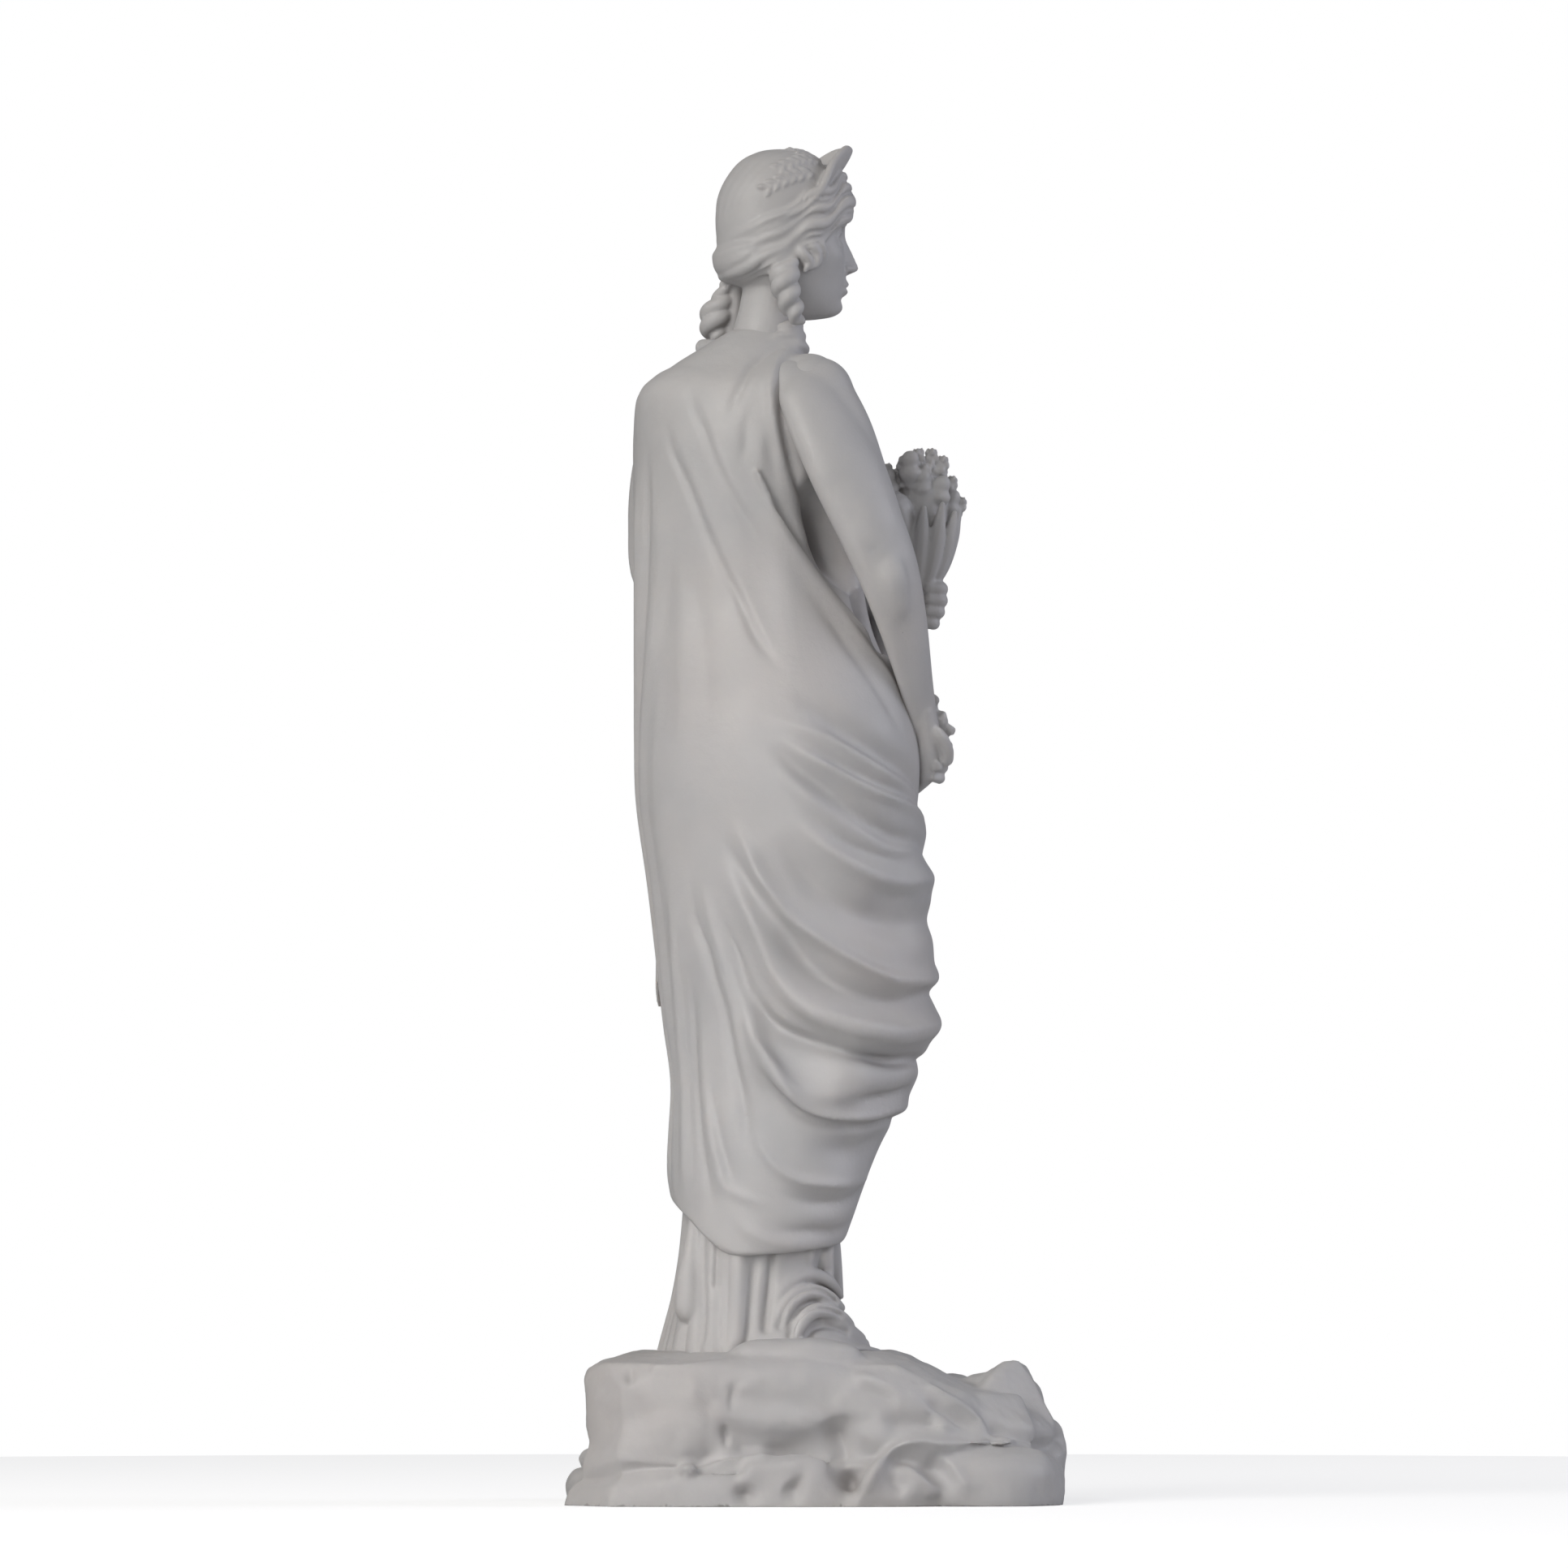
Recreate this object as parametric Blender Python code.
"""Goddess statue cast in alabaster, figure and rock base in one piece.

A standing woman in a sleeveless gown and a mantle that is drawn round the hips and over the left arm, right
knee forward, with a sheaf held before the breast and a posy in the lowered right hand. Everything is modelled
in millimetres as closed shapes, melted into one skin, rubbed down, cut with folds and thinned. The mesh is
scaled to metres at the end. +Z is up, the front is -Y and her right is -X.
"""
import math
import bpy
import bmesh
import numpy as np
from mathutils import Matrix, Vector
from mathutils.bvhtree import BVHTree

FULL = 2 * math.pi


def smooth_path(points, per_span=8):
    """Catmull-Rom curve through rows of numbers, so positions and radii are smoothed alike."""
    p = np.asarray(points, float)
    p = np.vstack([2 * p[0] - p[1], p, 2 * p[-1] - p[-2]])
    rows = []
    for a, b, c, d in zip(p, p[1:], p[2:], p[3:]):
        for t in np.arange(per_span) / per_span:
            rows.append(0.5 * (2 * b + (c - a) * t + (2 * a - 5 * b + 4 * c - d) * t * t
                               + (3 * b - a - 3 * c + d) * t ** 3))
    return np.array(rows + [p[-2]])


def rings_to_mesh(rings):
    """Closed skin over a stack of rings with the same number of points, capped at both ends."""
    rings = [np.asarray(r, float) for r in rings]
    n = len(rings[0])
    verts = np.vstack(rings + [rings[0].mean(0), rings[-1].mean(0)])
    bottom, top = len(verts) - 2, len(verts) - 1
    faces = []
    for k in range(len(rings) - 1):
        for i in range(n):
            j = (i + 1) % n
            faces.append((k * n + i, k * n + j, (k + 1) * n + j, (k + 1) * n + i))
    last = (len(rings) - 1) * n
    for i in range(n):
        j = (i + 1) % n
        faces.append((j, i, bottom))
        faces.append((last + i, last + j, top))
    return verts, faces


def tube(points, radii, sides=14, flat=1.0, up=(0, 0, 1), per_span=6):
    """Round or flattened bar along a smooth path, with its radius given at each point and rounded ends.
    flat < 1 squeezes it along `up`."""
    radii = np.broadcast_to(np.asarray(radii, float), (len(points),))
    path = smooth_path(np.column_stack([points, radii]), per_span)
    centre, radius = path[:, :3], np.maximum(path[:, 3], 0.05)
    tangent = np.gradient(centre, axis=0)
    tangent /= np.linalg.norm(tangent, axis=1)[:, None] + 1e-12
    rounding = (0.985, 0.87, 0.64, 0.34)
    stations = []
    for share in reversed(rounding):
        stations.append((centre[0] - tangent[0] * radius[0] * math.sqrt(1 - share ** 2), tangent[0],
                         radius[0] * share))
    stations += list(zip(centre, tangent, radius))
    for share in rounding:
        stations.append((centre[-1] + tangent[-1] * radius[-1] * math.sqrt(1 - share ** 2), tangent[-1],
                         radius[-1] * share))
    angle = np.arange(sides) * FULL / sides
    side = np.cross(np.asarray(up, float), tangent[0])
    if np.linalg.norm(side) < 1e-3:
        side = np.cross((1.0, 0.3, 0.2), tangent[0])
    rings = []
    for c, t, r in stations:
        if flat != 1.0:
            lateral = np.cross(np.asarray(up, float), t)
            side = lateral if np.linalg.norm(lateral) > 1e-3 else side
        side = side - t * (side @ t)
        side /= np.linalg.norm(side)
        over = np.cross(t, side)
        rings.append(c + r * (np.outer(np.cos(angle), side) + flat * np.outer(np.sin(angle), over)))
    return rings_to_mesh(rings)


def ellipsoid(centre, radii, turn=0.0, tilt=0.0, roll=0.0, sides=28):
    """Ellipsoid; turn is about Z, tilt about its own X, roll about its own Y, in degrees."""
    rings = []
    for k in range(1, sides // 2):
        a = -math.pi / 2 + math.pi * k / (sides // 2)
        phi = np.arange(sides) * FULL / sides
        rings.append(np.column_stack([np.cos(phi) * math.cos(a), np.sin(phi) * math.cos(a),
                                      np.full(sides, math.sin(a))]))
    verts, faces = rings_to_mesh(rings)
    verts[-2], verts[-1] = (0, 0, -1), (0, 0, 1)
    m = (Matrix.Rotation(math.radians(turn), 3, "Z") @ Matrix.Rotation(math.radians(tilt), 3, "X")
         @ Matrix.Rotation(math.radians(roll), 3, "Y"))
    return (verts * radii) @ np.array(m).T + centre, faces


def to_object(name, parts):
    """One mesh object out of several (verts, faces)."""
    verts, faces, n = [], [], 0
    for v, f in parts:
        verts.append(np.asarray(v))
        faces += [tuple(i + n for i in face) for face in f]
        n += len(v)
    mesh = bpy.data.meshes.new(name)
    mesh.from_pydata(np.vstack(verts).tolist(), [], faces)
    obj = bpy.data.objects.new(name, mesh)
    bpy.context.scene.collection.objects.link(obj)
    return obj


def apply_modifiers(obj):
    graph = bpy.context.evaluated_depsgraph_get()
    mesh = bpy.data.meshes.new_from_object(obj.evaluated_get(graph))
    old = obj.data
    obj.modifiers.clear()
    obj.data = mesh
    bpy.data.meshes.remove(old)
    return obj


def remesh(obj, voxel):
    mod = obj.modifiers.new("melt", "REMESH")
    mod.mode = "VOXEL"
    mod.voxel_size = voxel
    mod.adaptivity = 0.0
    return apply_modifiers(obj)


def points_of(mesh):
    co = np.empty(len(mesh.vertices) * 3, np.float32)
    mesh.vertices.foreach_get("co", co)
    return co.reshape(-1, 3).astype(float)


def set_points(mesh, co):
    mesh.vertices.foreach_set("co", np.asarray(co, np.float32).ravel())
    mesh.update()


def normals_of(mesh):
    n = np.empty(len(mesh.vertices) * 3, np.float32)
    mesh.vertex_normals.foreach_get("vector", n)
    return n.reshape(-1, 3).astype(float)


def edges_of(mesh):
    e = np.empty(len(mesh.edges) * 2, np.int32)
    mesh.edges.foreach_get("vertices", e)
    return e.reshape(-1, 2)


def relax(obj, rounds, weight=0.5, mask=None):
    """Rub the surface down: each round moves every point towards the mean of its neighbours."""
    mesh = obj.data
    co, e = points_of(mesh), edges_of(mesh)
    n = len(co)
    degree = np.bincount(e.ravel(), minlength=n)[:, None]
    m = np.ones((n, 1)) if mask is None else mask[:, None]
    for k in range(rounds):
        total = np.column_stack([np.bincount(e[:, 0], co[e[:, 1], a], n) + np.bincount(e[:, 1],
                co[e[:, 0], a], n)
                                 for a in range(3)])
        co = co + weight * m * (total / np.maximum(degree, 1) - co)
    set_points(mesh, co)


def saw_flat(obj, height=0.0):
    """Saw off everything under a height and close the cut with one flat face."""
    bm = bmesh.new()
    bm.from_mesh(obj.data)
    geometry = bm.verts[:] + bm.edges[:] + bm.faces[:]
    cut = bmesh.ops.bisect_plane(bm, geom=geometry, dist=0.02, plane_co=(0, 0, height), plane_no=(0, 0, 1),
                                 clear_inner=True)["geom_cut"]
    rim = [g for g in cut if isinstance(g, bmesh.types.BMEdge)]
    floor = bmesh.ops.edgeloop_fill(bm, edges=rim)["faces"]
    bmesh.ops.triangulate(bm, faces=floor)
    bmesh.ops.recalc_face_normals(bm, faces=bm.faces)
    bm.to_mesh(obj.data)
    bm.free()


def decimate(obj, triangles):
    obj.data.calc_loop_triangles()
    have = len(obj.data.loop_triangles)
    if have > triangles:
        mod = obj.modifiers.new("thin", "DECIMATE")
        mod.ratio = triangles / have
        mod.use_collapse_triangulate = True
        apply_modifiers(obj)


def direction(azimuth):
    """(right, towards the viewer) of a view, azimuth in degrees; 0 looks along +Y."""
    a = math.radians(azimuth)
    return np.array([math.cos(a), math.sin(a), 0.0]), np.array([math.sin(a), -math.cos(a), 0.0])


def evened(points, normals, passes=3):
    """A line on the surface with its small jumps averaged out."""
    p, n = np.array(points), np.array(normals)
    for _ in range(passes if len(p) > 4 else 0):
        p[1:-1] = 0.25 * p[:-2] + 0.5 * p[1:-1] + 0.25 * p[2:]
        n[1:-1] = 0.25 * n[:-2] + 0.5 * n[1:-1] + 0.25 * n[2:]
    return p, n / np.linalg.norm(n, axis=-1, keepdims=True) if len(n) else n


EYE_RISE = 0.06


class Clay:
    """The block under the chisel: projects drawn lines on to the surface and presses or raises along them."""

    def __init__(self, obj):
        self.obj = obj
        self.refresh()

    def refresh(self):
        mesh = self.obj.data
        self.co = points_of(mesh)
        self.normal = normals_of(mesh)
        self.tree = BVHTree.FromObject(self.obj, bpy.context.evaluated_depsgraph_get())

    def commit(self):
        set_points(self.obj.data, self.co)
        self.obj.data.update()
        bpy.context.view_layer.update()
        self.refresh()

    def lay(self, azimuth, line, per_span=8):
        """A line drawn in a side view as (across, height) pairs, laid on the surface: points and normals.
        The eye of the view is a little below the middle, so it looks up by EYE_RISE for each millimetre."""
        right, near = direction(azimuth)
        toward = np.array([0, 0, EYE_RISE]) - near
        found, normals = [], []
        for u, z in smooth_path(line, per_span):
            start = right * u + np.array([0, 0, z]) - 300 * toward
            hit, n, _, _ = self.tree.ray_cast(Vector(start), Vector(toward))
            if hit is not None:
                found.append(hit)
                normals.append(n)
        return evened(found, normals)

    def lay_round(self, line, per_span=8):
        """A line of (degrees from the front through her left, height), laid on the surface from outside."""
        line = np.array(line, float)
        line[:, 0] = np.unwrap(line[:, 0], period=360)
        found, normals = [], []
        for degrees, z in smooth_path(line, per_span):
            a = math.radians(degrees - 90)
            out = np.array([math.cos(a), math.sin(a), 0.0])
            hit, n, _, _ = self.tree.ray_cast(Vector(out * 150 + np.array([0, 0, z])), Vector(-out))
            if hit is not None:
                found.append(hit)
                normals.append(n)
        return evened(found, normals)

    def stroke(self, points, normals, height, width, fade=(0.25, 0.25), power=2.0, strength=None):
        """Raise (height > 0) or press (< 0) the surface along points; width is the half-width of the profile.
        A fade is a share of the line's length or, over 1, millimetres; strength is one factor a point."""
        if len(points) < 2:
            return
        reach = width * 5.2 ** (1 / power)
        low, high = points.min(0) - reach, points.max(0) + reach
        near = np.where(((self.co > low) & (self.co < high)).all(1))[0]
        if not len(near):
            return
        v = self.co[near]
        a, b = points[:-1], points[1:]
        d = b - a
        length = np.linalg.norm(d, axis=1)
        total = np.concatenate([[0], np.cumsum(length)])
        best = np.full(len(v), 1e9)
        along = np.zeros(len(v))
        index = np.zeros(len(v), int)
        share = np.zeros(len(v))
        for k in np.flatnonzero(length > 1e-9):
            t = np.clip((v - a[k]) @ d[k] / length[k] ** 2, 0, 1)
            dist = np.linalg.norm(v - a[k] - t[:, None] * d[k], axis=1)
            closer = dist < best
            best[closer] = dist[closer]
            along[closer] = (total[k] + t[closer] * length[k]) / total[-1]
            index[closer] = k
            share[closer] = t[closer]
        keep = best < reach
        near, best, along, index, share = (q[keep] for q in (near, best, along, index, share))
        normal = normals[index] + (normals[index + 1] - normals[index]) * share[:, None]
        facing = np.clip((self.normal[near] * normal).sum(1) * 1.6 + 0.2, 0, 1)
        first, last = (f / max(total[-1], 2 * f) if f > 1 else max(f, 1e-6) for f in fade)
        ends = np.clip(along / first, 0, 1) * np.clip((1 - along) / last, 0, 1)
        ends = ends * ends * (3 - 2 * ends)
        if strength is not None:
            ends = ends * (strength[index] + (strength[index + 1] - strength[index]) * share)
        lift = height * np.exp(-np.abs(best / width) ** power) * ends * facing
        self.co[near] += self.normal[near] * lift[:, None]

    def draw(self, azimuth, line, height, width, round_to=None, beyond=0.6, **how):
        """A fold drawn from one side, or by direction when azimuth is None; round_to carries it on, weaker,
        round the body."""
        p, n = self.lay_round(line) if azimuth is None else self.lay(azimuth, line)
        if round_to and len(p):
            q, m = self.lay_round(round_to)
            strength = np.concatenate([np.ones(len(p)), np.full(len(q), beyond)])
            reach = min(6, len(p), len(q))
            strength[len(p) - reach:len(p) + reach] = np.linspace(1, beyond, 2 * reach)
            p, n = evened(np.vstack([p, q]), np.vstack([n, m]))
            how["strength"] = strength
        self.stroke(p, n, height, width, **how)


# ---------------------------------------------------------------- places
ROOT_HALF = math.sqrt(0.5)
AROUND = 64


def at(across, near, height):
    """A place seen from her back right: to the right, towards the viewer, up."""
    return np.array([-ROOT_HALF * (across + near), ROOT_HALF * (near - across), height])


def ats(rows):
    return np.array([at(*r[:3]) for r in rows])


def xyz(rows):
    return np.array(rows, float)


# ---------------------------------------------------------------- body and mantle
# ring of eight control radii: front, front left, left, back left, back, back right, right, front right


# ring of eight control radii: front, front left, left, back left, back, back right, right, front right
def ring_angles():
    return -math.pi / 2 + np.arange(AROUND) * FULL / AROUND


def around(values):
    """Eight values round the figure, smoothly filled in to AROUND of them."""
    v = np.asarray(values, float)
    t = np.arange(AROUND) * 8.0 / AROUND
    k = np.floor(t).astype(int)
    t = t - k
    a, b, c, d = (v[..., (k + i) % 8] for i in (-1, 0, 1, 2))
    square = 2 * a - 5 * b + 4 * c - d
    cube = 3 * b - a - 3 * c + d
    return 0.5 * (2 * b + (c - a) * t + square * t * t + cube * t ** 3)


class Figure:
    """Radii of the clothed body at every height and direction, from sections."""

    def __init__(self, rows):
        rows = smooth_path(rows, 6)
        self.z = rows[:, 0]
        self.centre = np.array([at(r[1], r[2], 0)[:2] for r in rows])
        self.radius = np.array([around(r[3:]) for r in rows])

    def ring(self, heights, grow=0.0):
        """Points at one height for each direction (heights may be one number), grown outwards."""
        h = np.broadcast_to(np.asarray(heights, float), (AROUND,))
        cx, cy = np.interp(h, self.z, self.centre[:, 0]), np.interp(h, self.z, self.centre[:, 1])
        r = np.array([np.interp(h[i], self.z, self.radius[:, i]) for i in range(AROUND)]) + grow
        a = ring_angles()
        return np.column_stack([cx + r * np.cos(a), cy + r * np.sin(a), h])

    def solid(self, low=-1e9, high=1e9):
        keep = (self.z >= low) & (self.z <= high)
        a = ring_angles()
        rings = [np.column_stack([c[0] + r * np.cos(a), c[1] + r * np.sin(a), np.full(AROUND, z)])
                 for z, c, r in zip(self.z[keep], self.centre[keep], self.radius[keep])]
        return rings_to_mesh(rings)


# height, centre across, centre near, then the eight radii
GOWN = [
    (30, -3.0, 0, 25, 25, 26, 25, 23, 23, 25, 25),
    (38, -3.0, 0, 25, 25, 26, 26, 23, 23, 26, 26),
    (44, -3.5, 0, 24, 24, 25, 21.6, 21, 21, 22.5, 21.8),
    (50, -4.0, 0, 23, 23, 23, 19.8, 20, 20, 20, 19.4),
    (58, -4.5, 0, 22, 22, 22, 19.6, 19, 19.5, 19, 17.4),
    (66, -4.0, 0, 22, 22, 22, 18.3, 18.5, 19.5, 20, 19.3),
    (75, -3.0, 0, 24, 23, 22, 20.8, 19, 20, 22.0, 20.9),
    (90, -1.0, 0, 27, 25, 24, 22.3, 21, 21.5, 24.4, 24.8),
    (105, 2.0, 0, 32, 27, 25, 24.8, 22, 22.5, 27.6, 30.2),
    (120, 4.0, 0, 35, 30, 27, 28.8, 24, 25, 29.4, 32.6),
    (135, 3.0, 0, 35, 30, 29, 29.4, 26, 27, 30, 34.0),
    (155, 2.0, 0, 32, 31, 32, 30.6, 28, 29, 32, 34.2),
    (175, 0.5, 0, 31, 31, 33, 32, 30, 31, 33.5, 33),
    (190, -0.5, 0, 30, 30, 32, 31.5, 29, 30, 32, 33.8),
    (205, -2.0, 0, 27, 29, 32, 30, 26, 27, 29, 31.5),
    (225, -3.5, 0, 23, 27, 33, 28.5, 21.5, 21.5, 22.5, 26.5),
    (240, -4.0, 0, 23, 27, 33.5, 28.2, 21.5, 21.5, 22, 25.5),
    (258, -4.5, 0, 23.5, 27, 33.5, 28.2, 22.5, 22.5, 22.5, 24),
    (270, -4.5, 0, 21, 25, 32, 28.8, 22, 22.5, 25, 22),
    (279, -4.5, 0, 16.5, 20, 29, 28.2, 20.5, 20.5, 24, 18),
    (285, -4.5, 0, 12, 14, 22, 21.5, 16, 14.5, 16, 12.5),
    (290, -4.5, 0, 9, 10, 13, 13.5, 11.5, 10.5, 10.5, 9.5),
    (294, -4.3, 0, 7, 7, 7, 7, 7, 7, 7, 7),
]
# (degrees from the front through her left, height) of the mantle's upper edge and its hem
MANTLE_EDGE = ((0, 172), (25, 184), (45, 206), (65, 240), (85, 266), (110, 281), (140, 285), (170, 284),
               (190, 281),
               (202, 276), (211, 271), (220, 262), (232, 252.5), (245, 241.5), (258, 234.5), (276, 225.5),
               (294, 214.5),
               (310, 203), (325, 190), (342, 178))
MANTLE_HEM = ((0, 70), (45, 80), (90, 79), (135, 75), (160, 71), (185, 65.5), (205, 61.6), (230, 61.6),
              (270, 63), (315, 65))
MANTLE_THICKNESS = 2.8


def by_direction(pairs):
    """Heights for every direction of a ring, from (degrees, height) pairs."""
    p = np.asarray(pairs, float)
    p = np.vstack([p - (360, 0), p, p + (360, 0)])
    p = smooth_path(p, 6)
    return np.interp(np.arange(AROUND) * 360.0 / AROUND, p[:, 0], p[:, 1])


# (direction, share of the mantle's thickness left at its upper edge): it lies thin over the shoulder blades
MANTLE_EDGE_SHARE = ((0, 1.0), (60, 1.0), (110, 0.7), (150, 0.3), (190, 0.15), (214, 0.1), (223, 0.12),
                     (230, 0.4), (238, 0.95), (248, 1.15),
                     (280, 1.1), (320, 1.0))


def mantle(figure, thickness=MANTLE_THICKNESS):
    edge, hem, thin = (by_direction(rows) for rows in (MANTLE_EDGE, MANTLE_HEM, MANTLE_EDGE_SHARE))
    rings = [figure.ring(hem + 1.0, -6.0), figure.ring(hem, thickness - 1.2)]
    steps = 64
    for k in range(steps + 1):
        s = k / steps
        grow = thickness * min(1, 0.8 + 4 * s) * min(1, 0.75 + 3 * (1 - s)) * (1 - (1 - thin) * s ** 3)
        rings.append(figure.ring(hem + (edge - hem) * (0.004 + 0.992 * s), grow))
    rings.append(figure.ring(edge - 0.4, -6.0))
    return rings_to_mesh(rings)


def mantle_roll(figure):
    """The turned-over upper edge, from under her right arm round the hip to the left forearm."""
    points = figure.ring(by_direction(MANTLE_EDGE) - 1.8, MANTLE_THICKNESS - 1.4)
    order = [(i % AROUND) for i in range(int(AROUND * 0.64), int(AROUND * 1.17))][::3]
    radius = np.interp(np.arange(len(order)), (0, 3, 6, len(order)), (0.8, 1.4, 2.2, 3.2))
    return tube(points[order], radius, sides=12, per_span=2)


def limbs_under_cloth():
    return [
        tube(ats([(21.0, 4.0, 165), (25.5, -2.0, 142), (28.0, -5.0, 124), (22.0, -1.0, 106),
                  (12.0, 3.0, 86)]),
             (12, 11.5, 10.5, 8.5, 7.0), 20),
        tube(xyz([(15, 0, 150), (15, -3, 118), (14, 0, 85), (14, 0, 62)]), (13, 12, 9.5, 8), 20),
        ellipsoid(xyz((-6.5, -9.0, 257)), (11.0, 11.0, 13.0), tilt=-16),
        ellipsoid(xyz((12.0, -9.0, 257)), (11.0, 11.0, 13.0), tilt=-16),
    ]


def curtain(path, low, top, thickness):
    """A plain hanging cloth: follows a path seen from above, from a level top to its own lower edge."""
    line = smooth_path(path, 14)
    share = np.linspace(0, 1, len(line))
    tangent = np.gradient(line, axis=0)
    tangent /= np.linalg.norm(tangent, axis=1)[:, None]
    out = np.column_stack([tangent[:, 1], -tangent[:, 0]]) * thickness / 2
    edge = np.interp(share, [p[0] for p in low], [p[1] for p in low])
    rings = []
    for t in np.linspace(0, 1, 25):
        z = top + (edge - top) * t
        rings.append(np.vstack([np.column_stack([line + out, z]), np.column_stack([line - out, z])[::-1]]))
    return rings_to_mesh(rings)


def hanging_pleats(path, low, top, pleats, radius, seed, draw_in=0.075):
    """Rounded pleats side by side along a path, each to its own height, with a thin cloth behind them."""
    rng = np.random.default_rng(seed)
    line = smooth_path(path, 14)
    share = np.linspace(0, 1, len(line))
    parts = [curtain(path, [(s, z + 3.0) for s, z in low], top, radius * 1.1)]
    for k in range(pleats):
        s = (k + 0.5 + rng.uniform(-0.15, 0.15)) / pleats
        x, y = (np.interp(s, share, line[:, a]) for a in range(2))
        edge = np.interp(s, [p[0] for p in low], [p[1] for p in low]) + rng.uniform(-2.5,
                2.5) - 3.5 * (k % 2)
        r = radius * rng.uniform(0.8, 1.15)
        drift = rng.uniform(-1.2, 1.2, (2, 2))
        drift[1] -= np.array([x, y]) / math.hypot(x, y) * (top - edge) * draw_in * (1 - s)
        mid = (top + edge) / 2
        spine = xyz([(x, y, top), (x + drift[0, 0] * 0.6, y + drift[0, 1] * 0.6, mid),
                     (x + drift[1, 0], y + drift[1, 1], edge + r)])
        parts.append(tube(spine, (0.7 * r, 0.9 * r, 1.1 * r), 16))
    return parts


def forearm_swag():
    """End of the mantle thrown over the left forearm and hanging in stepped folds."""
    path = [(27.3, 13.2), (33.7, 6.4), (36.6, -2), (35.5, -12), (31, -20), (24, -27), (16, -32.5),
            (8, -36), (1, -37), (-4, -36)]
    low = [(0, 136), (0.06, 127), (0.12, 120), (0.25, 126), (0.38, 136), (0.5, 150), (0.62, 166),
           (0.75, 182), (0.88, 194), (1, 199)]
    inner = [(24, 11), (30.5, 3), (32, -8), (27, -17), (20, -24), (10, -30), (-1, -31)]
    inner_low = [(0, 116), (0.3, 118), (0.55, 136), (0.8, 172), (1, 190)]
    fill = tube(xyz([(25, -6, 224), (22, -8, 195), (20, -8, 165), (18, -6, 140)]), (13.5, 13, 11, 8), 16)
    cuff = tube(xyz([(34, 7, 229), (35, -6, 226), (28, -18.5, 227.5), (19, -27.5, 226), (10, -34.5, 228),
                     (2, -37.5, 228.5)]),
                (7.0, 7.6, 6.8, 7.4, 6.4, 5.0), 16)
    roll = tube(xyz([(30, 12, 236), (35, 2, 233), (32, -12, 233.5), (24, -22.5, 231.0), (15, -30, 232.0),
                     (6, -37, 232.5)]),
                (4.0, 4.6, 4.4, 4.8, 4.2, 2.6), 14)
    tail = tube(ats([(-26.6, -12, 152), (-26.6, -11.5, 134), (-25.9, -11, 126), (-25.0, -10, 119),
                     (-23.6, -8, 109)]),
                (3.9, 3.9, 3.9, 3.3, 1.6), 16)
    return (hanging_pleats(path, low, 229, 17, 3.1, 3) + hanging_pleats(inner, inner_low, 226, 11, 2.8, 8)
            + [fill, cuff, roll, tail])


def sleeve():
    """The mantle over the left upper arm, drawn forward over the elbow."""
    parts = [tube(xyz([(25.0, 4.0, 276), (30.0, 5.5, 262), (31.8, 6.0, 246), (31.5, 3.0, 233),
                       (24.0, -12.0, 229)]),
                  (10.0, 10.8, 10.6, 10.5, 9.0), 24)]
    for run, r in ((((20, -8, 281), (29, -3.5, 266), (34, -4, 248), (33, -10, 233)), 2.6),
                   (((24, -5, 284), (34, 0, 266), (39.5, 1, 248), (37, -6, 233)), 2.8),
                   (((27, 4, 285), (38, 6, 266), (41, 6, 248), (39, 0, 234)), 2.6),
                   (((17, -10, 280), (23, -9, 262), (27, -11, 246), (27, -16, 234)), 2.4)):
        parts.append(tube(xyz(run), (0.6 * r, r, r, 0.8 * r), 12))
    return parts


# ---------------------------------------------------------------- folds
BACK_RIGHT, FRONT, LEFT, BACK_LEFT, BACK, RIGHT_SIDE, FRONT_RIGHT = 225, 0, 90, 135, 180, 270, 315
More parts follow.
